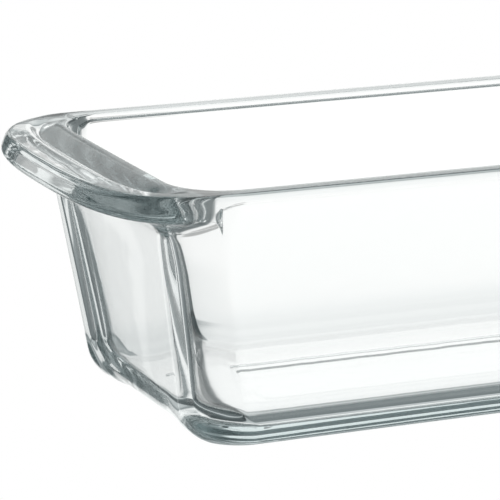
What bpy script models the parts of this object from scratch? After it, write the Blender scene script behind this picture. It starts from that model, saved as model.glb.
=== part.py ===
"""Pressed-glass loaf dish: one moulded body with a bowed ear handle at each end.

Sizes are in millimetres and the mesh is built in metres, +Z up. The origin is
the centre of the base on the resting plane; X runs along the length, Y across.

One quarter of the plan is cut into stations, each a pair (kind, t): kind is
"end", "corner" or "side" and t runs 0..1 from the middle of the end to the
middle of the side. Every station carries one section through the wall.
"""
import math

import bmesh
import bpy

MM = 0.001
WELD_DISTANCE = 0.00002   # metres

# Outer wall
HEIGHT = 80.0             # resting plane to the top of the rim
BASE_HALF_LENGTH = 122.7  # drafted wall carried down to the resting plane
BASE_HALF_WIDTH = 50.2
TOP_HALF_LENGTH = 136.4   # drafted wall carried up to the rim
TOP_HALF_WIDTH = 58.5
WALL_CORNER_R = 17.0      # vertical corners, the same at every height
BASE_EDGE_END = 13.5      # rounding from wall to base, short ends
BASE_EDGE_SIDE = 8.1      # the same, long sides

# Underside: insets are from the base outline, as far as the flat standing ring's inner edge
FOOT_INSET = 27.8
FOOT_RECESS = 0.45        # depth of the field inside the ring, in two steps
# (further inset, corner radius, z), from the middle outwards
FOOT_RINGS = (
    (7.5, 3.0, FOOT_RECESS),
    (5.5, 4.0, FOOT_RECESS / 2),
    (2.0, 4.0, FOOT_RECESS / 2),
    (0.0, 5.0, 0.0),
)

# Rim
RIM_HALF_WIDTH = 60.0     # rim edge of the long sides
RIM_BAND = 2.8            # height of the plain rim edge
RIM_TAPER = 1.1           # the band deepens by this towards the ears
RIM_TAPER_LENGTH = 6.0
RIM_UNDER_DROP = 0.4      # from the band's lower edge in to the wall
RIM_LOWER_ROUND = 0.55
RIM_SHOULDER_Z = HEIGHT - 0.05
RIM_ROUND = 1.9           # rounding of the upper outside edge

# Inner wall
RIM_INNER_HALF_LENGTH = 129.1
RIM_INNER_HALF_WIDTH = 54.1
RIM_INNER_CORNER_R = 17.0
RIM_INNER_Z = HEIGHT - 0.15
RIM_INNER_ROUND = 1.8     # rounding from the rim into the mouth
INNER_CORNER_R = 11.0     # vertical corners from LIP_Z down
LIP_Z = 63.0              # the slope of the inner end wall changes here
LIP_ROUND = 8.0
LIP_DRAFT_END = 0.059     # inward run per unit of depth above LIP_Z, short ends
INNER_DRAFT_END = 0.157   # the same, below LIP_Z
INNER_DRAFT_SIDE = 0.102  # long sides, full depth
INNER_MID_Z = 26.0
INNER_MID_ROUND = 4.0
FLOOR_THICKNESS = 5.75
FLOOR_EDGE = 13.0         # rounding from inner wall to floor
END_BOW = 3.1             # inner end wall's bow at floor height, END_BOW_SPAN off centre
END_BOW_SPAN = 40.0
FLOOR_INSET_X = 29.0      # innermost ring of the floor, from the inner wall
FLOOR_INSET_Y = 17.0
FLOOR_FIELD_CORNER_R = 3.0

# Ears
EAR_ROOT_X = BASE_HALF_LENGTH - 3.8   # centre of the superellipse outline
EAR_REACH = BASE_HALF_LENGTH + 33.5 - EAR_ROOT_X
EAR_EXPONENT_X = 3.9
EAR_EXPONENT_Y = 2.72
EAR_SAMPLES = 400
EAR_TANGENT_SPAN = 3      # samples to either side used for the normal
EAR_STEP_FROM = 122.1     # the thick flange of the ear ends in a step
EAR_STEP_TO = 123.7       # between these distances from the middle
EAR_LOWER_Z = 73.2        # underside of the ear at its outer edge
EAR_UNDER_Z = 69.3        # underside of the ear carried in to the wall
EAR_LOWER_INSET = 0.4
EAR_LOWER_ROUND = 2.8
WALL_TOP_TRIM = (1.0, 5.2)            # rounding below the plain rim, below the ear
EAR_LEAN_SPAN = (125.7, 141.7)        # the outer face starts and stops tilting, in X
EAR_TOP_INSET = 3.1       # how far the outer face leans in
EAR_LEAN_SHIFT = 0.107    # outward shift of the top points, per unit of distance to the edge
EAR_SHOULDER_Z = 79.65
EAR_SHOULDER_ROUND = 2.2

# Hollow between the mouth and the raised outer lip of the ear
TROUGH_DEPTH = 2.6
TROUGH_WIDTH_SPAN = (11.0, 19.0)      # rim width over which it deepens
TROUGH_END_SPAN = (38.0, 50.0)        # Y over which it fades out
TROUGH_MIN_X = 118.7

# Points across the top: 0 is the mouth and 1 the outer edge. Pairs are the
# values on the plain rim and on the full ear or trough.
CREST_PLACE = 0.66
CREST_TRIM = (0.3, 1.5)
TROUGH_EDGE_PLACE = 0.52
TROUGH_EDGE_TRIM = (0.1, 1.3)
TROUGH_BED_PLACE = 0.385
TROUGH_BED_TRIM = (0.1, 1.1)
MOUTH_PLACE = (0.20, 0.07)
MOUTH_TRIM = (0.1, 0.5)
MOUTH_Z = HEIGHT - 0.1

# Mesh density of a quarter of the plan
END_STEPS = 9
SIDE_STEPS = 7
SIDE_SPACING_POWER = 1.5  # closer stations near the corner
CORNER_STOPS = (0.0, 0.1, 0.2, 0.3, 0.4, 0.5, 0.59, 0.67, 0.74, 0.80, 0.85, 0.89,
                0.915, 0.936, 0.955, 0.976)


def smooth(start, stop, value):
    t = min(1.0, max(0.0, (value - start) / (stop - start)))
    return t * t * (3.0 - 2.0 * t)


def blend(start, stop, t):
    return start + (stop - start) * t


# ---------------------------------------------------------------- plan curves
def rounded_rect(half_x, half_y, radius, station):
    """Point of a rounded rectangle's first quarter at a plan station."""
    kind, t = station
    if kind == "end":
        return half_x, t * (half_y - radius)
    if kind == "corner":
        angle = t * math.pi / 2
        return (half_x - radius + radius * math.cos(angle),
                half_y - radius + radius * math.sin(angle))
    return (1.0 - t) * (half_x - radius), half_y


def ear_curve():
    """Ear outline from the middle of the end to the side, and its running length."""
    stop_x = TOP_HALF_LENGTH - WALL_CORNER_R
    points = []
    for i in range(EAR_SAMPLES + 1):
        angle = i / EAR_SAMPLES * math.pi / 2
        x = EAR_ROOT_X + EAR_REACH * max(math.cos(angle), 0.0) ** (2 / EAR_EXPONENT_X)
        if x <= stop_x:
            break
        points.append((x, RIM_HALF_WIDTH * math.sin(angle) ** (2 / EAR_EXPONENT_Y)))
    points.append((stop_x, RIM_HALF_WIDTH))
    lengths = [0.0]
    for start, stop in zip(points, points[1:]):
        lengths.append(lengths[-1] + math.dist(start, stop))
    return points, lengths


EAR_POINTS, EAR_LENGTHS = ear_curve()


def ear_point(fraction):
    """Ear outline and its outward normal at a fraction of its length."""
    length = fraction * EAR_LENGTHS[-1]
    k = 0
    while k < len(EAR_LENGTHS) - 2 and EAR_LENGTHS[k + 1] < length:
        k += 1
    t = (length - EAR_LENGTHS[k]) / (EAR_LENGTHS[k + 1] - EAR_LENGTHS[k])
    point = tuple(blend(a, b, t) for a, b in zip(EAR_POINTS[k], EAR_POINTS[k + 1]))
    before = EAR_POINTS[max(k - EAR_TANGENT_SPAN, 0)]
    after = EAR_POINTS[min(k + 1 + EAR_TANGENT_SPAN, len(EAR_POINTS) - 1)]
    dx = after[0] - before[0]
    dy = after[1] - before[1]
    size = math.hypot(dx, dy)
    return point, (dy / size, -dx / size)


def rim_outline(station):
    """Outer edge of the rim or ear, spaced like the outline of the mouth."""
    kind, t = station
    if kind == "side":
        return rounded_rect(TOP_HALF_LENGTH, RIM_HALF_WIDTH, WALL_CORNER_R, station), (0.0, 1.0)
    straight = RIM_INNER_HALF_WIDTH - RIM_INNER_CORNER_R
    arc = RIM_INNER_CORNER_R * math.pi / 2
    length = t * straight if kind == "end" else straight + t * arc
    return ear_point(length / (straight + arc))


def outer_wall(station, z):
    t = z / HEIGHT
    return rounded_rect(blend(BASE_HALF_LENGTH, TOP_HALF_LENGTH, t),
                        blend(BASE_HALF_WIDTH, TOP_HALF_WIDTH, t), WALL_CORNER_R, station)


def inner_half_sizes(z):
    below_lip = max(LIP_Z - z, 0.0)
    above_lip = HEIGHT - z - below_lip
    half_x = RIM_INNER_HALF_LENGTH - LIP_DRAFT_END * above_lip - INNER_DRAFT_END * below_lip
    half_y = RIM_INNER_HALF_WIDTH - INNER_DRAFT_SIDE * (HEIGHT - z)
    return half_x, half_y


def inner_wall(station, z):
    """Inner wall at height z, its ends drawn in towards the corners."""
    radius = INNER_CORNER_R if z <= LIP_Z else RIM_INNER_CORNER_R
    x, y = rounded_rect(*inner_half_sizes(z), radius, station)
    kind, t = station
    if kind != "side":
        fade = 1.0 if kind == "end" else 1.0 - t ** 2
        depth = (HEIGHT - z) / (HEIGHT - FLOOR_THICKNESS)
        x -= END_BOW * depth * (y / END_BOW_SPAN) ** 3 * fade
    return x, y


def base_edge(station):
    """Rounding from wall to base, easing from the end value to the side value."""
    kind, t = station
    if kind == "end":
        sideways = 0.5 * smooth(0.6, 1.0, t)
    elif kind == "corner":
        sideways = 0.5 + 0.5 * smooth(0.0, 0.45, t)
    else:
        sideways = 1.0
    return blend(BASE_EDGE_END, BASE_EDGE_SIDE, sideways)


# ---------------------------------------------------------------- wall section
def foot_section(station):
    """Points of the recessed field and the inner edge of the standing ring."""
    points = []
    for further, radius, z in FOOT_RINGS:
        inset = FOOT_INSET + further
        x, y = rounded_rect(BASE_HALF_LENGTH - inset, BASE_HALF_WIDTH - inset, radius, station)
        points.append((x, y, z, 0.0, 0))
    return points


def outside_section(station, edge, normal, lean):
    """Points from the base edge up the outer wall to the shoulder of the rim or ear."""
    edge_x, edge_y = edge
    normal_x, normal_y = normal
    ear = smooth(EAR_STEP_FROM, EAR_STEP_TO, edge_x)
    taper = smooth(EAR_STEP_FROM - RIM_TAPER_LENGTH, EAR_STEP_FROM, edge_x)
    band_z = HEIGHT - RIM_BAND - RIM_TAPER * taper
    wall_top_z = blend(band_z - RIM_UNDER_DROP, EAR_UNDER_Z, ear)
    lower_inset = EAR_LOWER_INSET * ear
    top_inset = EAR_TOP_INSET * lean
    return [
        (*outer_wall(station, 0.0), 0.0, base_edge(station), 5),
        (*outer_wall(station, wall_top_z), wall_top_z, blend(*WALL_TOP_TRIM, ear), 4),
        (edge_x - lower_inset * normal_x, edge_y - lower_inset * normal_y,
         blend(band_z, EAR_LOWER_Z, ear), blend(RIM_LOWER_ROUND, EAR_LOWER_ROUND, ear), 3),
        (edge_x - top_inset * normal_x, edge_y - top_inset * normal_y,
         blend(RIM_SHOULDER_Z, EAR_SHOULDER_Z, lean),
         blend(RIM_ROUND, EAR_SHOULDER_ROUND, lean), 4),
    ]


def top_section(edge, mouth, lean):
    """Points across the top, from the outer edge in to the mouth."""
    width = math.dist(edge, mouth)
    trough = smooth(*TROUGH_WIDTH_SPAN, width)
    trough *= 1.0 - smooth(*TROUGH_END_SPAN, mouth[1]) if edge[0] > TROUGH_MIN_X else 0.0

    def across(place, z, trim, steps):
        place = 1.0 - (1.0 - place) * (1.0 - EAR_LEAN_SHIFT * lean)
        return (blend(mouth[0], edge[0], place), blend(mouth[1], edge[1], place), z, trim, steps)

    return [
        across(CREST_PLACE, HEIGHT, blend(*CREST_TRIM, lean), 2),
        across(TROUGH_EDGE_PLACE, HEIGHT, blend(*TROUGH_EDGE_TRIM, trough), 3),
        across(TROUGH_BED_PLACE, HEIGHT - TROUGH_DEPTH * trough,
               blend(*TROUGH_BED_TRIM, trough), 3),
        across(blend(*MOUTH_PLACE, lean), MOUTH_Z, blend(*MOUTH_TRIM, lean), 1),
    ]


def inside_section(station, mouth):
    """Points from the mouth down the inner wall and in over the floor."""
    floor_x, floor_y = inner_half_sizes(FLOOR_THICKNESS)
    field = rounded_rect(floor_x - FLOOR_INSET_X, floor_y - FLOOR_INSET_Y,
                         FLOOR_FIELD_CORNER_R, station)
    return [
        (*mouth, RIM_INNER_Z, RIM_INNER_ROUND, 4),
        (*inner_wall(station, LIP_Z), LIP_Z, LIP_ROUND, 3),
        (*inner_wall(station, INNER_MID_Z), INNER_MID_Z, INNER_MID_ROUND, 1),
        (*inner_wall(station, FLOOR_THICKNESS), FLOOR_THICKNESS, FLOOR_EDGE, 6),
        (*field, FLOOR_THICKNESS, 0.0, 0),
    ]


def section(station):
    """Control points (x, y, z, trim, steps) from the base, over the rim, to the floor.

    trim is how far the corner is rounded and steps how many points that takes;
    0 steps keeps the corner sharp.
    """
    edge, normal = rim_outline(station)
    mouth = inner_wall(station, HEIGHT)
    lean = smooth(*EAR_LEAN_SPAN, edge[0])
    return (foot_section(station) + outside_section(station, edge, normal, lean)
            + top_section(edge, mouth, lean) + inside_section(station, mouth))


def round_corner(before, corner, after, trim, steps):
    """Points of a conic that replaces a corner of the section."""
    length_in = math.dist(before, corner)
    length_out = math.dist(corner, after)
    # below half, so that neighbouring roundings never meet
    trim_in = min(trim, 0.46 * length_in)
    trim_out = min(trim, 0.46 * length_out)
    start = [blend(c, b, trim_in / length_in) for c, b in zip(corner, before)]
    stop = [blend(c, a, trim_out / length_out) for c, a in zip(corner, after)]
    cosine = sum((c - b) * (a - c) for b, c, a in zip(before, corner, after))
    cosine /= length_in * length_out
    weight = math.sqrt(max(0.0, (1.0 + cosine) / 2))
    points = []
    for j in range(steps):
        t = j / (steps - 1) if steps > 1 else 0.5
        weights = ((1 - t) ** 2, 2 * t * (1 - t) * weight, t * t)
        total = sum(weights)
        points.append(tuple(sum(w * value for w, value in zip(weights, values)) / total
                            for values in zip(start, corner, stop)))
    return points


def profile(station):
    """Section polyline with its corners rounded."""
    controls = section(station)
    points = []
    for i, (*corner, trim, steps) in enumerate(controls):
        if steps == 0:
            points.append(tuple(corner))
        else:
            points += round_corner(controls[i - 1][:3], corner, controls[i + 1][:3], trim, steps)
    return points


# ---------------------------------------------------------------- mesh
def rings():
    """Closed loops round the dish in metres, from the underside to the floor."""
    stations = [("end", i / END_STEPS) for i in range(END_STEPS)]
    stations += [("corner", t) for t in CORNER_STOPS]
    stations += [("side", (i / SIDE_STEPS) ** SIDE_SPACING_POWER) for i in range(SIDE_STEPS + 1)]
    quarter = [profile(station) for station in stations]
    # mirrored quarters, without the columns they share
    turns = (
        (quarter, 1, 1),
        (quarter[-2::-1], -1, 1),
        (quarter[1:], -1, -1),
        (quarter[-2:0:-1], 1, -1),
    )
    columns = [[(x * sign_x * MM, y * sign_y * MM, z * MM) for x, y, z in column]
               for part, sign_x, sign_y in turns for column in part]
    return list(zip(*columns))


def grow_ring(bm, verts, edges, target):
    """Extrude a closed edge loop once and settle it on its next ring."""
    index = {vert: i for i, vert in enumerate(verts)}
    extruded = bmesh.ops.extrude_edge_only(bm, edges=edges)["geom"]
    placed = [None] * len(verts)
    for vert in extruded:
        if not isinstance(vert, bmesh.types.BMVert):
            continue
        for edge in vert.link_edges:
            i = index.get(edge.other_vert(vert))
            if i is not None:
                placed[i] = vert
                break
    for vert, co in zip(placed, target):
        vert.co = co
    return placed, [bm.edges.get(pair) for pair in zip(placed, placed[1:] + placed[:1])]


def dish_mesh(name):
    """Skin the rings and close the underside and the floor with one face each."""
    bm = bmesh.new()
    first, *others = rings()
    verts = [bm.verts.new(co) for co in first]
    edges = [bm.edges.new(pair) for pair in zip(verts, verts[1:] + verts[:1])]
    bmesh.ops.contextual_create(bm, geom=edges)
    for target in others:
        verts, edges = grow_ring(bm, verts, edges, target)
    bmesh.ops.contextual_create(bm, geom=edges)
    bmesh.ops.remove_doubles(bm, verts=bm.verts, dist=WELD_DISTANCE)
    bmesh.ops.recalc_face_normals(bm, faces=bm.faces)
    for face in bm.faces:
        face.smooth = True
    mesh = bpy.data.meshes.new(name)
    bm.to_mesh(mesh)
    bm.free()
    return mesh


def glass_material(name, color, roughness, ior):
    mat = bpy.data.materials.new(name)
    mat.use_nodes = True
    inputs = mat.node_tree.nodes["Principled BSDF"].inputs
    inputs["Base Color"].default_value = color
    inputs["Transmission Weight"].default_value = 1.0
    inputs["Roughness"].default_value = roughness
    inputs["IOR"].default_value = ior
    return mat


def build():
    for obj in list(bpy.data.objects):
        bpy.data.objects.remove(obj, do_unlink=True)
    parts = bpy.data.collections.new("loaf_pan")
    bpy.context.scene.collection.children.link(parts)

    dish = bpy.data.objects.new("glass_loaf_dish", dish_mesh("glass_loaf_dish"))
    dish.data.materials.append(glass_material(
        "clear_pressed_glass", color=(0.93, 0.98, 0.96, 1.0), roughness=0.02, ior=1.5))
    parts.objects.link(dish)


build()
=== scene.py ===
"""Clear pressed-glass loaf pan with an ear at each end, in a white studio.

The pan is centred on the origin and stands on z = 0, its length along X and its
width along Y. It is one piece of glass, swept as a continuous skin: base, outer
wall, rim or ear, inner wall, floor.
"""
import math

import bmesh
import bpy
import numpy as np
from mathutils import Matrix, Vector


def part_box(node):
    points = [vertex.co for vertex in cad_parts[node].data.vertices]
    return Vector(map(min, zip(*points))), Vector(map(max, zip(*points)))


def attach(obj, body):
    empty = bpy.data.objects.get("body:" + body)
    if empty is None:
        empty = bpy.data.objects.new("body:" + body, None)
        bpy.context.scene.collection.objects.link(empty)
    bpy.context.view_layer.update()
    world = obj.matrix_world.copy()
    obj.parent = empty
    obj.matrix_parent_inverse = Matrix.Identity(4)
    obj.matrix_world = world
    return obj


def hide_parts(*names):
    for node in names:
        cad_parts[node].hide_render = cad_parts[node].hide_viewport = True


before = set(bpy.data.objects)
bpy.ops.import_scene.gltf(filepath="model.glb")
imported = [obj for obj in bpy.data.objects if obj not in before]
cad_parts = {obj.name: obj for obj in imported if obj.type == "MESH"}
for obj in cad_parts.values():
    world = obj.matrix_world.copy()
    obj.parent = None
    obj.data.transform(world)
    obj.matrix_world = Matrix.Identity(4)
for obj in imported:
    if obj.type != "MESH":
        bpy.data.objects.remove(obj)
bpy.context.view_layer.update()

# ---------------------------------------------------------------- dimensions
# millimetres, measured out from the CAD box so that the two always agree
_, CAD_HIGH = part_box("glass_loaf_dish")
HALF_LENGTH, RIM_HALF_WIDTH, HEIGHT = Vector(CAD_HIGH) * 1000.0

# outer wall: it leans out from the base to the top
BASE_HALF_LENGTH = HALF_LENGTH - 32.02
BASE_HALF_WIDTH = 50.2
TOP_HALF_LENGTH = BASE_HALF_LENGTH + 13.7
TOP_HALF_WIDTH = 58.5
CORNER_R = 17.0
BASE_EDGE_END = 13.5            # trim of the bottom edge, at the ends and the sides
BASE_EDGE_SIDE = 8.1

# shallow recess under the base
FOOT_INSET = 27.8               # from the base outline to the edge of the recess
FOOT_RECESS = 0.45
# inset beyond FOOT_INSET, corner radius, z, trim, steps, run (see control)
FOOT_RINGS = (
    (10.0, 2.0, FOOT_RECESS, 0.0, 0, 0),
    (7.5, 3.0, FOOT_RECESS, 0.6, 4, 0),
    (5.5, 4.0, FOOT_RECESS * 0.5, 0.6, 4, 0),
    (2.0, 4.0, FOOT_RECESS * 0.5, 0.7, 4, 1),
    (0.0, 5.0, 0.0, 0.7, 4, 0),
)

# rim along the sides; it thickens just before the ears
RIM_BAND = 2.8
RIM_TAPER = 1.1
RIM_TAPER_LENGTH = 6.0
RIM_ROOT_DROP = 0.4             # from the rim's underside to the wall
RIM_UNDER_ROUND = 0.55
RIM_ROUND = 1.9
RIM_ROOT_ROUND = 1.0

# inner wall, with a steeper lip at the top of the ends; drafts are mm per mm of height
RIM_INNER_HALF_LENGTH = BASE_HALF_LENGTH + 6.4
RIM_INNER_HALF_WIDTH = 54.1
RIM_INNER_ROUND = 1.8
LIP_DRAFT_END = 0.059
INNER_DRAFT_END = 0.157
INNER_DRAFT_SIDE = 0.102
INNER_CORNER_R = 11.0           # up to the lip, then opening to CORNER_R
LIP_Z = 63.0
INNER_MID_Z = 26.0
FLOOR_Z = 5.75
FLOOR_EDGE = 13.0
FLOOR_INSET = (29.0, 17.0)      # x, y: the ring where the floor cap starts
FLOOR_RING_R = 3.0
END_BOW = 3.1                   # how far the end walls curve in at floor level...
END_BOW_Y = 40.0                # ...at this distance from the centre line

# ears: a superellipse in plan
EAR_END_X = BASE_HALF_LENGTH + 33.5
EAR_CENTRE_X = BASE_HALF_LENGTH - 3.8
EAR_POWER_X = 3.9
EAR_POWER_Y = 2.72
EAR_SAMPLES = 2400
EAR_TANGENT_REACH = 0.8         # along the curve each way, for its direction
EAR_STEP_X = (BASE_HALF_LENGTH - 0.6, BASE_HALF_LENGTH + 1.0)    # the rim becomes an ear
EAR_LEAN_X = (BASE_HALF_LENGTH + 3.0, BASE_HALF_LENGTH + 19.0)   # its edge starts to lean in
EAR_ROOT_Z = 69.3
EAR_ROOT_ROUND = 5.2
EAR_LOWER_Z = 73.2
EAR_LOWER_INSET = 0.4
EAR_LOWER_ROUND = 2.8
EAR_SHOULDER_Z = 79.7
EAR_TOP_INSET = 3.1
EAR_SHOULDER_ROUND = 2.2
EAR_OUTWARD_SHIFT = 0.107       # how far the top's points move towards the outline

# trough in the top of the ears
TROUGH_DEPTH = 2.6
TROUGH_FROM_X = BASE_HALF_LENGTH - 4.0
TROUGH_BAND = (11.0, 19.0)      # band widths over which it deepens
TROUGH_FADE_Y = (38.0, 50.0)    # inner-edge y over which it dies out

# stations round a quarter of the pan, and how they crowd together
END_STEPS = 24
CORNER_STEPS = 70
SIDE_STEPS = 32
CORNER_CROWDING = 1.35
SIDE_CROWDING = 1.25
CAP_RINGS = 8
WELD_DISTANCE = 0.000004        # metres


def smooth(start, end, value):
    t = min(1.0, max(0.0, (value - start) / (end - start)))
    return t * t * (3.0 - 2.0 * t)


def blend(a, b, t):
    return a + (b - a) * t


# ---------------------------------------------------------------- plan curves
# A station is (kind, t): t runs 0 to 1 along the end from its middle, round the
# corner, then along the side to its middle.

def rounded_rect(half_x, half_y, r, station):
    kind, t = station
    if kind == "end":
        return half_x, t * (half_y - r)
    if kind == "corner":
        angle = t * math.pi / 2
        return half_x - r + r * math.cos(angle), half_y - r + r * math.sin(angle)
    return (1.0 - t) * (half_x - r), half_y


def ear_curve():
    """Points of a quarter of the ear's outline, and the run along it to each."""
    points, run = [], [0.0]
    stop_x = TOP_HALF_LENGTH - CORNER_R
    for i in range(EAR_SAMPLES + 1):
        angle = i / EAR_SAMPLES * math.pi / 2
        x = EAR_CENTRE_X + (EAR_END_X - EAR_CENTRE_X) * math.cos(angle) ** (2 / EAR_POWER_X)
        if x <= stop_x:
            break
        points.append((x, RIM_HALF_WIDTH * math.sin(angle) ** (2 / EAR_POWER_Y)))
    points.append((stop_x, RIM_HALF_WIDTH))
    for p, q in zip(points, points[1:]):
        run.append(run[-1] + math.dist(p, q))
    return np.array(points), np.array(run)


EAR_POINTS, EAR_RUN = ear_curve()


def ear_point(fraction):
    """Point and outward normal at a fraction of the ear curve's length."""
    def at(run):
        return np.array([np.interp(run, EAR_RUN, EAR_POINTS[:, axis]) for axis in (0, 1)])

    run = fraction * EAR_RUN[-1]
    before = max(run - EAR_TANGENT_REACH, 0.0)
    after = min(run + EAR_TANGENT_REACH, EAR_RUN[-1])
    dx, dy = at(after) - at(before)
    if before == 0.0:
        dx = 0.0                # square to X where the two halves of the ear meet
    length = math.hypot(dx, dy)
    return at(run), (dy / length, -dx / length)


def outline(station):
    """Outermost point and its normal; ear stations are spaced as on the inner rim."""
    kind, t = station
    if kind == "side":
        return rounded_rect(TOP_HALF_LENGTH, RIM_HALF_WIDTH, CORNER_R, station), (0.0, 1.0)
    straight = RIM_INNER_HALF_WIDTH - CORNER_R
    arc = CORNER_R * math.pi / 2
    run = t * straight if kind == "end" else straight + t * arc
    return ear_point(run / (straight + arc))


def outer_wall(station, z):
    k = z / HEIGHT
    return rounded_rect(blend(BASE_HALF_LENGTH, TOP_HALF_LENGTH, k),
                        blend(BASE_HALF_WIDTH, TOP_HALF_WIDTH, k), CORNER_R, station)


def inner_size(z):
    below_lip = max(LIP_Z - z, 0.0)
    half_x = (RIM_INNER_HALF_LENGTH - LIP_DRAFT_END * (HEIGHT - z - below_lip)
              - INNER_DRAFT_END * below_lip)
    return half_x, RIM_INNER_HALF_WIDTH - INNER_DRAFT_SIDE * (HEIGHT - z)


def inner_wall(station, z):
    kind, t = station
    r = float(np.interp(z, (LIP_Z, HEIGHT), (INNER_CORNER_R, CORNER_R)))
    x, y = rounded_rect(*inner_size(z), r, station)
    if kind != "side":
        depth = (HEIGHT - z) / (HEIGHT - FLOOR_Z)
        fade = 1.0 if kind == "end" else 1.0 - t ** 2
        x -= END_BOW * depth * (y / END_BOW_Y) ** 3 * fade
    return x, y


# ---------------------------------------------------------------- cross-section
def control(xy, z, trim=0.0, steps=0, run=0):
    """Control point: trim is the length cut off each side to round the corner,
    steps the points on that rounding, run the points on the way to it."""
    return np.array((*xy, z)), trim, steps, run


def section(station):
    """Control points from the middle of the base, over the rim, to the floor."""
    kind, t = station
    (ox, oy), (nx, ny) = outline(station)
    ix, iy = inner_wall(station, HEIGHT)
    ear = smooth(*EAR_STEP_X, ox)
    lean = smooth(*EAR_LEAN_X, ox)
    trough = 0.0
    if ox > TROUGH_FROM_X:
        band = math.hypot(ox - ix, oy - iy)
        trough = smooth(*TROUGH_BAND, band) * (1.0 - smooth(*TROUGH_FADE_Y, iy))

    def inset(distance):
        return ox - distance * nx, oy - distance * ny

    def across(fraction):
        """Point on the way from the inner rim (0) to the outline (1)."""
        fraction = 1.0 - (1.0 - fraction) * (1.0 - EAR_OUTWARD_SHIFT * lean)
        return blend(ix, ox, fraction), blend(iy, oy, fraction)

    rim_under = HEIGHT - RIM_BAND - RIM_TAPER * smooth(
        EAR_STEP_X[0] - RIM_TAPER_LENGTH, EAR_STEP_X[0], ox)
    root_z = blend(rim_under - RIM_ROOT_DROP, EAR_ROOT_Z, ear)
    # the bottom edge: 0 at the middle of the end, 1 along the side
    if kind == "end":
        sideways = 0.5 * smooth(0.6, 1.0, t)
    elif kind == "corner":
        sideways = 0.5 + 0.5 * smooth(0.0, 0.45, t)
    else:
        sideways = 1.0

    base = [
        control(rounded_rect(BASE_HALF_LENGTH - FOOT_INSET - extra,
                             BASE_HALF_WIDTH - FOOT_INSET - extra, r, station),
                z, trim, steps, run)
        for extra, r, z, trim, steps, run in FOOT_RINGS]
    outside = [
        control(outer_wall(station, 0.0), 0.0,
                trim=blend(BASE_EDGE_END, BASE_EDGE_SIDE, sideways), steps=12, run=2),
        control(outer_wall(station, root_z), root_z,
                trim=blend(RIM_ROOT_ROUND, EAR_ROOT_ROUND, ear), steps=9, run=22),
        control(inset(EAR_LOWER_INSET * ear), blend(rim_under, EAR_LOWER_Z, ear),
                trim=blend(RIM_UNDER_ROUND, EAR_LOWER_ROUND, ear), steps=7, run=3),
        control(inset(EAR_TOP_INSET * lean), blend(HEIGHT, EAR_SHOULDER_Z, lean) - 0.05,
                trim=blend(RIM_ROUND, EAR_SHOULDER_ROUND, lean), steps=8, run=1),
    ]
    top = [
        control(across(0.66), HEIGHT, trim=0.3 + 1.2 * lean, steps=5),
        control(across(0.52), HEIGHT, trim=0.1 + 1.2 * trough, steps=5),
        control(across(0.385), HEIGHT - TROUGH_DEPTH * trough, trim=0.1 + trough, steps=5),
        control(across(blend(0.2, 0.07, lean)), HEIGHT - 0.1,
                trim=0.1 + 0.4 * lean, steps=3, run=2),
        control((ix, iy), HEIGHT - 0.15, trim=RIM_INNER_ROUND, steps=8),
    ]
    floor_x, floor_y = inner_size(FLOOR_Z)
    inside = [
        control(inner_wall(station, LIP_Z), LIP_Z, trim=8.0, steps=8, run=6),
        control(inner_wall(station, INNER_MID_Z), INNER_MID_Z, trim=4.0, steps=4, run=16),
        control(inner_wall(station, FLOOR_Z), FLOOR_Z, trim=FLOOR_EDGE, steps=16, run=3),
        control(rounded_rect(floor_x - FLOOR_INSET[0], floor_y - FLOOR_INSET[1],
                             FLOOR_RING_R, station), FLOOR_Z, run=3),
    ]
    return base + outside + top + inside


def rounding(before, corner, after, trim, steps):
    """Conic arc that replaces a corner, circular where both trims are equal."""
    to_before, to_after = before - corner, after - corner
    length_before, length_after = np.linalg.norm(to_before), np.linalg.norm(to_after)
    start = corner + to_before * min(trim, 0.46 * length_before) / length_before
    end = corner + to_after * min(trim, 0.46 * length_after) / length_after
    cosine = -float(to_before @ to_after) / (length_before * length_after)
    weight = math.sqrt(max(0.0, (1.0 + cosine) / 2))
    arc = []
    for j in range(steps):
        t = j / (steps - 1)
        w0, w1, w2 = (1 - t) ** 2, 2 * t * (1 - t) * weight, t * t
        arc.append((w0 * start + w1 * corner + w2 * end) / (w0 + w1 + w2))
    return arc


def profile(station):
    """All points of the skin at one station."""
    controls = section(station)
    points = []
    for i, (corner, trim, steps, run) in enumerate(controls):
        arc = [corner]
        if steps:
            arc = rounding(controls[i - 1][0], corner, controls[i + 1][0], trim, steps)
        if run:
            previous = points[-1]
            points += [previous + (arc[0] - previous) * (j + 1) / (run + 1)
                       for j in range(run)]
        points += arc
    return points


def columns():
    """Profiles all round the pan, mirrored from one quarter: station, step, xyz."""
    stations = [("end", i / END_STEPS) for i in range(END_STEPS)]
    stations += [("corner", 1.0 - (1.0 - i / CORNER_STEPS) ** CORNER_CROWDING)
                 for i in range(CORNER_STEPS)]
    stations += [("side", (i / SIDE_STEPS) ** SIDE_CROWDING) for i in range(SIDE_STEPS + 1)]
    quarter = np.array([profile(s) for s in stations])
    last = len(stations) - 1
    quadrants = ((range(last + 1), 1, 1), (range(last - 1, -1, -1), -1, 1),
                 (range(1, last + 1), -1, -1), (range(last - 1, 0, -1), 1, -1))
    return np.array([quarter[i] * (sign_x, sign_y, 1.0)
                     for order, sign_x, sign_y in quadrants for i in order])


# ---------------------------------------------------------------- mesh
def grow_ring(bm, verts, edges, target):
    """Extrude a closed ring of edges to the target points."""
    index = {v: i for i, v in enumerate(verts)}
    new = [g for g in bmesh.ops.extrude_edge_only(bm, edges=edges)["geom"]
           if isinstance(g, bmesh.types.BMVert)]
    placed = [None] * len(verts)
    for v in new:
        for e in v.link_edges:
            i = index.get(e.other_vert(v))
            if i is not None:
                placed[i] = v
                break
    for v, co in zip(placed, target):
        v.co = co
    n = len(placed)
    return placed, [bm.edges.get((placed[i], placed[(i + 1) % n])) for i in range(n)]


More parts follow.
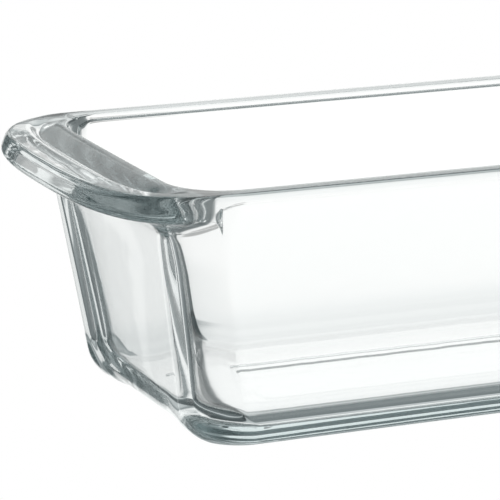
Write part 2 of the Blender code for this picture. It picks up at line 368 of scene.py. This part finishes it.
def cap(bm, verts, edges):
    """Close a ring with rings that shrink towards a line along X, then one face."""
    outer = [v.co.copy() for v in verts]
    spine = max(c.x for c in outer) - max(c.y for c in outer)
    for k in range(1, CAP_RINGS + 1):
        ring = [c.lerp(Vector((max(-spine, min(spine, c.x)), 0.0, c.z)), k / (CAP_RINGS + 1))
                for c in outer]
        verts, edges = grow_ring(bm, verts, edges, ring)
    bmesh.ops.contextual_create(bm, geom=edges)


def pan_mesh():
    skin = columns() / 1000.0
    bm = bmesh.new()
    verts = [bm.verts.new(co) for co in skin[:, 0]]
    n = len(verts)
    edges = [bm.edges.new((verts[i], verts[(i + 1) % n])) for i in range(n)]
    first = (verts, edges)
    for k in range(1, skin.shape[1]):
        verts, edges = grow_ring(bm, verts, edges, skin[:, k])
    cap(bm, verts, edges)
    cap(bm, *first)
    bmesh.ops.remove_doubles(bm, verts=bm.verts, dist=WELD_DISTANCE)
    bmesh.ops.recalc_face_normals(bm, faces=bm.faces)
    bmesh.ops.triangulate(bm, faces=[f for f in bm.faces if len(f.verts) > 4])
    for f in bm.faces:
        f.smooth = True
    mesh = bpy.data.meshes.new("loaf_pan_glass")
    bm.to_mesh(mesh)
    bm.free()
    return mesh


# ---------------------------------------------------------------- node helpers
def empty_tree(owner):
    owner.use_nodes = True
    owner.node_tree.nodes.clear()
    return owner.node_tree


def add_node(tree, kind, inputs=None, **settings):
    """Add a node; inputs gives each socket a value or the output that feeds it."""
    node = tree.nodes.new(kind)
    for name, value in settings.items():
        setattr(node, name, value)
    for socket, value in (inputs or {}).items():
        if isinstance(value, bpy.types.NodeSocket):
            tree.links.new(value, node.inputs[socket])
        else:
            node.inputs[socket].default_value = value
    return node


def calculate(tree, operation, *values):
    return add_node(tree, "ShaderNodeMath", dict(enumerate(values)),
                    operation=operation).outputs[0]


def map_range(tree, value, source=(0.0, 1.0), result=(0.0, 1.0), **settings):
    return add_node(tree, "ShaderNodeMapRange", {
        "Value": value, "From Min": source[0], "From Max": source[1],
        "To Min": result[0], "To Max": result[1]}, **settings).outputs[0]


def noise(tree, vector, scale, detail):
    return add_node(tree, "ShaderNodeTexNoise", {
        "Vector": vector, "Scale": scale, "Detail": detail}).outputs["Fac"]


def bump(tree, height, distance, **inputs):
    return add_node(tree, "ShaderNodeBump", {
        "Height": height, "Strength": 1.0, "Distance": distance, **inputs}).outputs[0]


def mix_colour(tree, factor, a, b, **settings):
    return add_node(tree, "ShaderNodeMix", {0: factor, 6: a, 7: b},
                    data_type="RGBA", **settings).outputs[2]


# ---------------------------------------------------------------- glass
GLASS_PER_METRE = (4.7, 3.7, 3.6)      # absorption of red, green, blue
GLASS_DENSITY = 8.0                    # scale that keeps the absorption colour in 0..1
GLASS_IOR = 1.50
POLISH = (0.0, 0.03)                   # roughness range
PIPED_DEPTH = (4.0, 9.0)               # ray depths over which roughness is added
PIPED_SCATTER = 0.22
# metres from here on
CHILL_DEPTH = 0.00003
EAR_WAVE_DEPTH = 0.00014
EAR_WAVE_X = (0.136, 0.141)            # the waves fade in outwards...
EAR_WAVE_Z = (0.0750, 0.0737)          # ...and downwards
EAR_WAVE_STRETCH = (1.0, 0.4, 1.0)


def glass_roughness(tree, place):
    """Fire polish, rougher for light piped a long way inside the walls."""
    polish = map_range(tree, noise(tree, place, scale=55.0, detail=3.0), result=POLISH)
    path = add_node(tree, "ShaderNodeLightPath")
    scatter = map_range(tree, path.outputs["Ray Depth"], PIPED_DEPTH, (0.0, PIPED_SCATTER))
    return calculate(tree, "ADD", polish, scatter)


def glass_normal(tree, place):
    """Faint chill marks from the mould, and shallow waves under the ears."""
    chill = bump(tree, noise(tree, place, scale=90.0, detail=1.0), CHILL_DEPTH)
    stretched = add_node(tree, "ShaderNodeMapping", {"Vector": place, "Scale": EAR_WAVE_STRETCH})
    grain = noise(tree, stretched.outputs[0], scale=150.0, detail=1.5)
    split = add_node(tree, "ShaderNodeSeparateXYZ", {0: place})
    from_middle = calculate(tree, "ABSOLUTE", split.outputs[0], 0.0)
    under_ears = calculate(
        tree, "MULTIPLY",
        map_range(tree, from_middle, EAR_WAVE_X, interpolation_type="SMOOTHSTEP"),
        map_range(tree, split.outputs[2], EAR_WAVE_Z, interpolation_type="SMOOTHSTEP"))
    centred = calculate(tree, "SUBTRACT", grain, 0.5)
    return bump(tree, calculate(tree, "MULTIPLY", centred, under_ears), EAR_WAVE_DEPTH,
                Normal=chill)


def glass_material():
    mat = bpy.data.materials.new("clear_pressed_glass_fine")
    tree = empty_tree(mat)
    place = add_node(tree, "ShaderNodeTexCoord").outputs["Object"]
    surface = add_node(tree, "ShaderNodeBsdfPrincipled", {
        "Base Color": (1.0, 1.0, 1.0, 1.0),
        "Transmission Weight": 1.0,
        "IOR": GLASS_IOR,
        "Roughness": glass_roughness(tree, place),
        "Normal": glass_normal(tree, place)})
    absorb = add_node(tree, "ShaderNodeVolumeAbsorption", {
        "Color": tuple(1.0 - a / GLASS_DENSITY for a in GLASS_PER_METRE) + (1.0,),
        "Density": GLASS_DENSITY})
    add_node(tree, "ShaderNodeOutputMaterial", {
        "Surface": surface.outputs[0], "Volume": absorb.outputs[0]})
    return mat


# ---------------------------------------------------------------- studio
# Bright-field glass lighting: a white sweep behind the pan, a broad light to the
# right on the camera's side, a narrow strip on the left and a dimmer room elsewhere.
# It turns with the camera, as a turntable does.
# Stops are (degrees, brightness). Azimuth counts from the view direction, positive
# to the left; elevation counts from the horizon, positive upwards.
AZIMUTH_STOPS = (
    (-180, 0.20), (-155, 0.22), (-132, 0.88), (-105, 1.00), (-84, 0.55), (-60, 0.50),
    (-38, 0.44), (-25, 0.34), (-17, 1.08), (13.5, 1.09), (17.5, 0.98), (20.5, 0.22),
    (25, 0.17), (35, 0.20), (43.5, 0.38), (45.5, 1.15), (48.5, 1.15), (50.5, 0.38),
    (66, 0.22), (90, 0.09), (135, 0.09), (180, 0.20))
ELEVATION_STOPS = (
    (-90, 0.16), (-68, 0.43), (-60, 0.50), (-52, 0.54), (-44, 0.60), (-38, 0.56),
    (-34, 0.34), (-31.5, 0.36), (-29, 0.90), (-22, 0.90), (-17, 0.93), (-13, 1.0),
    (12, 1.0), (18, 1.15), (32, 1.15), (38, 0.42), (45, 0.20), (53, 0.24),
    (57, 0.62), (69, 0.66), (75, 0.30), (90, 0.22))
# A narrow grey card stands in the white sweep: 1 where it covers, 0 where it does not.
CARD_AZIMUTH_STOPS = ((-180, 0.0), (1.2, 0.0), (3.0, 1.0), (13.5, 1.0), (15.5, 0.0), (180, 0.0))
CARD_ELEVATION_STOPS = ((-90, 0.0), (-1.0, 0.0), (0.8, 1.0), (12.0, 1.0), (16.0, 0.0), (90, 0.0))
CARD_DEPTH = 0.55               # share of the light it takes away
ROOM_TINT = (0.995, 1.0, 0.99)
RAMP_TOP = 1.25                 # brightness stored as 1 in the two light ramps
DIM_RED_LOSS = 0.14             # dim areas turn cooler
DIM_BLUE_GAIN = 0.03
FLOOR_RADIUS = 60.0             # metres
FLOOR_DROP = 0.0002             # below the pan, metres


def ramp(tree, angle, stops, limit, top):
    """Colour ramp over -limit..limit degrees; angle comes in scaled to 0..1."""
    made = add_node(tree, "ShaderNodeValToRGB", {0: angle})
    made.color_ramp.interpolation = "EASE"
    elements = made.color_ramp.elements
    while len(elements) < len(stops):
        elements.new(0.5)
    for element, (at, value) in zip(elements, stops):
        element.position = (at + limit) / (2 * limit)
        shade, cool = value / top, max(0.0, 1.0 - value)
        element.color = (shade * (1.0 - DIM_RED_LOSS * cool), shade,
                         shade * (1.0 + DIM_BLUE_GAIN * cool), 1.0)
    return made.outputs[0]


def studio_group():
    """Node group: ray direction in, studio radiance out."""
    group = bpy.data.node_groups.new("studio_light", "ShaderNodeTree")
    group.interface.new_socket("Direction", in_out="INPUT", socket_type="NodeSocketVector")
    group.interface.new_socket("Radiance", in_out="OUTPUT", socket_type="NodeSocketColor")
    direction = add_node(group, "NodeGroupInput").outputs[0]
    view = add_node(group, "ShaderNodeVectorTransform", {0: (0.0, 0.0, 1.0)},
                    vector_type="VECTOR", convert_from="CAMERA", convert_to="WORLD")
    view_x, view_y, _ = add_node(group, "ShaderNodeSeparateXYZ", {0: view.outputs[0]}).outputs
    ray_x, ray_y, ray_z = add_node(group, "ShaderNodeSeparateXYZ", {0: direction}).outputs

    def product(a, b):
        return calculate(group, "MULTIPLY", a, b)

    cross = calculate(group, "SUBTRACT", product(view_x, ray_y), product(view_y, ray_x))
    dot = calculate(group, "ADD", product(view_x, ray_x), product(view_y, ray_y))
    azimuth = calculate(group, "MULTIPLY_ADD", calculate(group, "ARCTAN2", cross, dot),
                        1 / (2 * math.pi), 0.5)
    elevation = calculate(group, "MULTIPLY_ADD", calculate(group, "ARCSINE", ray_z),
                          1 / math.pi, 0.5)
    light = mix_colour(group, 1.0,
                       ramp(group, azimuth, AZIMUTH_STOPS, 180, RAMP_TOP),
                       ramp(group, elevation, ELEVATION_STOPS, 90, RAMP_TOP),
                       blend_type="MULTIPLY")
    cover = product(ramp(group, azimuth, CARD_AZIMUTH_STOPS, 180, 1.0),
                    ramp(group, elevation, CARD_ELEVATION_STOPS, 90, 1.0))
    carded = mix_colour(group, cover, light, (1.0 - CARD_DEPTH,) * 3 + (1.0,),
                        blend_type="MULTIPLY")
    tint = tuple(c * RAMP_TOP ** 2 for c in ROOM_TINT) + (1.0,)
    tinted = mix_colour(group, 1.0, carded, tint, blend_type="MULTIPLY")
    add_node(group, "NodeGroupOutput", {0: tinted})
    return group


def studio_colour(tree, studio, direction):
    """White to the camera, the studio to everything the glass bends."""
    light = add_node(tree, "ShaderNodeGroup", {0: direction}, node_tree=studio)
    path = add_node(tree, "ShaderNodeLightPath")
    return mix_colour(tree, path.outputs["Is Camera Ray"], light.outputs[0],
                      (1.0, 1.0, 1.0, 1.0))


def build_pan():
    pan = bpy.data.objects.new("loaf_pan_glass", pan_mesh())
    bpy.context.scene.collection.objects.link(pan)
    pan.data.materials.append(glass_material())
    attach(pan, "root")
    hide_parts("glass_loaf_dish")


def build_floor(studio):
    bpy.ops.mesh.primitive_circle_add(vertices=96, radius=FLOOR_RADIUS, fill_type="NGON",
                                      location=(0, 0, -FLOOR_DROP))
    floor = bpy.context.object
    floor.name = "studio_floor"
    mat = bpy.data.materials.new("studio_floor")
    tree = empty_tree(mat)
    incoming = add_node(tree, "ShaderNodeNewGeometry").outputs["Incoming"]
    ray = add_node(tree, "ShaderNodeVectorMath", {0: incoming, "Scale": -1.0}, operation="SCALE")
    glow = add_node(tree, "ShaderNodeEmission", {
        "Color": studio_colour(tree, studio, ray.outputs[0])})
    add_node(tree, "ShaderNodeOutputMaterial", {"Surface": glow.outputs[0]})
    floor.data.materials.append(mat)


def build_world(studio):
    world = bpy.data.worlds.new("studio")
    bpy.context.scene.world = world
    tree = empty_tree(world)
    ray = add_node(tree, "ShaderNodeTexCoord").outputs["Generated"]
    background = add_node(tree, "ShaderNodeBackground", {
        "Color": studio_colour(tree, studio, ray)})
    add_node(tree, "ShaderNodeOutputWorld", {"Surface": background.outputs[0]})


# ---------------------------------------------------------------- camera
# metres; the axes are the camera's own right, up and back in the world
CAMERA_PLACE = Vector((-(BASE_HALF_LENGTH + 409.72) / 1000.0, -0.99834, 0.328006))
CAMERA_AXES = (
    (0.913779, -0.406141, 0.00757864),
    (0.09455386, 0.23080762, 0.96839424),
    (-0.39505381, -0.88418173, 0.24930935))
CAMERA_LENS = 269.404344        # millimetres
CAMERA_SENSOR = 36.0
LIGHT_BOUNCES = 48              # light bounces many times inside the glass


def build_camera():
    cam = bpy.data.objects.new("camera", bpy.data.cameras.new("camera"))
    bpy.context.scene.collection.objects.link(cam)
    turn = Matrix(CAMERA_AXES).transposed()
    cam.matrix_world = Matrix.Translation(CAMERA_PLACE) @ turn.to_4x4()
    cam.data.sensor_width = CAMERA_SENSOR
    cam.data.lens = CAMERA_LENS
    bpy.context.scene.camera = cam


def set_render():
    scene = bpy.context.scene
    scene.view_settings.view_transform = "Standard"
    scene.view_settings.look = "None"
    scene.cycles.max_bounces = LIGHT_BOUNCES
    scene.cycles.transmission_bounces = LIGHT_BOUNCES
    scene.cycles.glossy_bounces = LIGHT_BOUNCES


build_pan()
studio_light = studio_group()
build_floor(studio_light)
build_world(studio_light)
build_camera()
set_render()
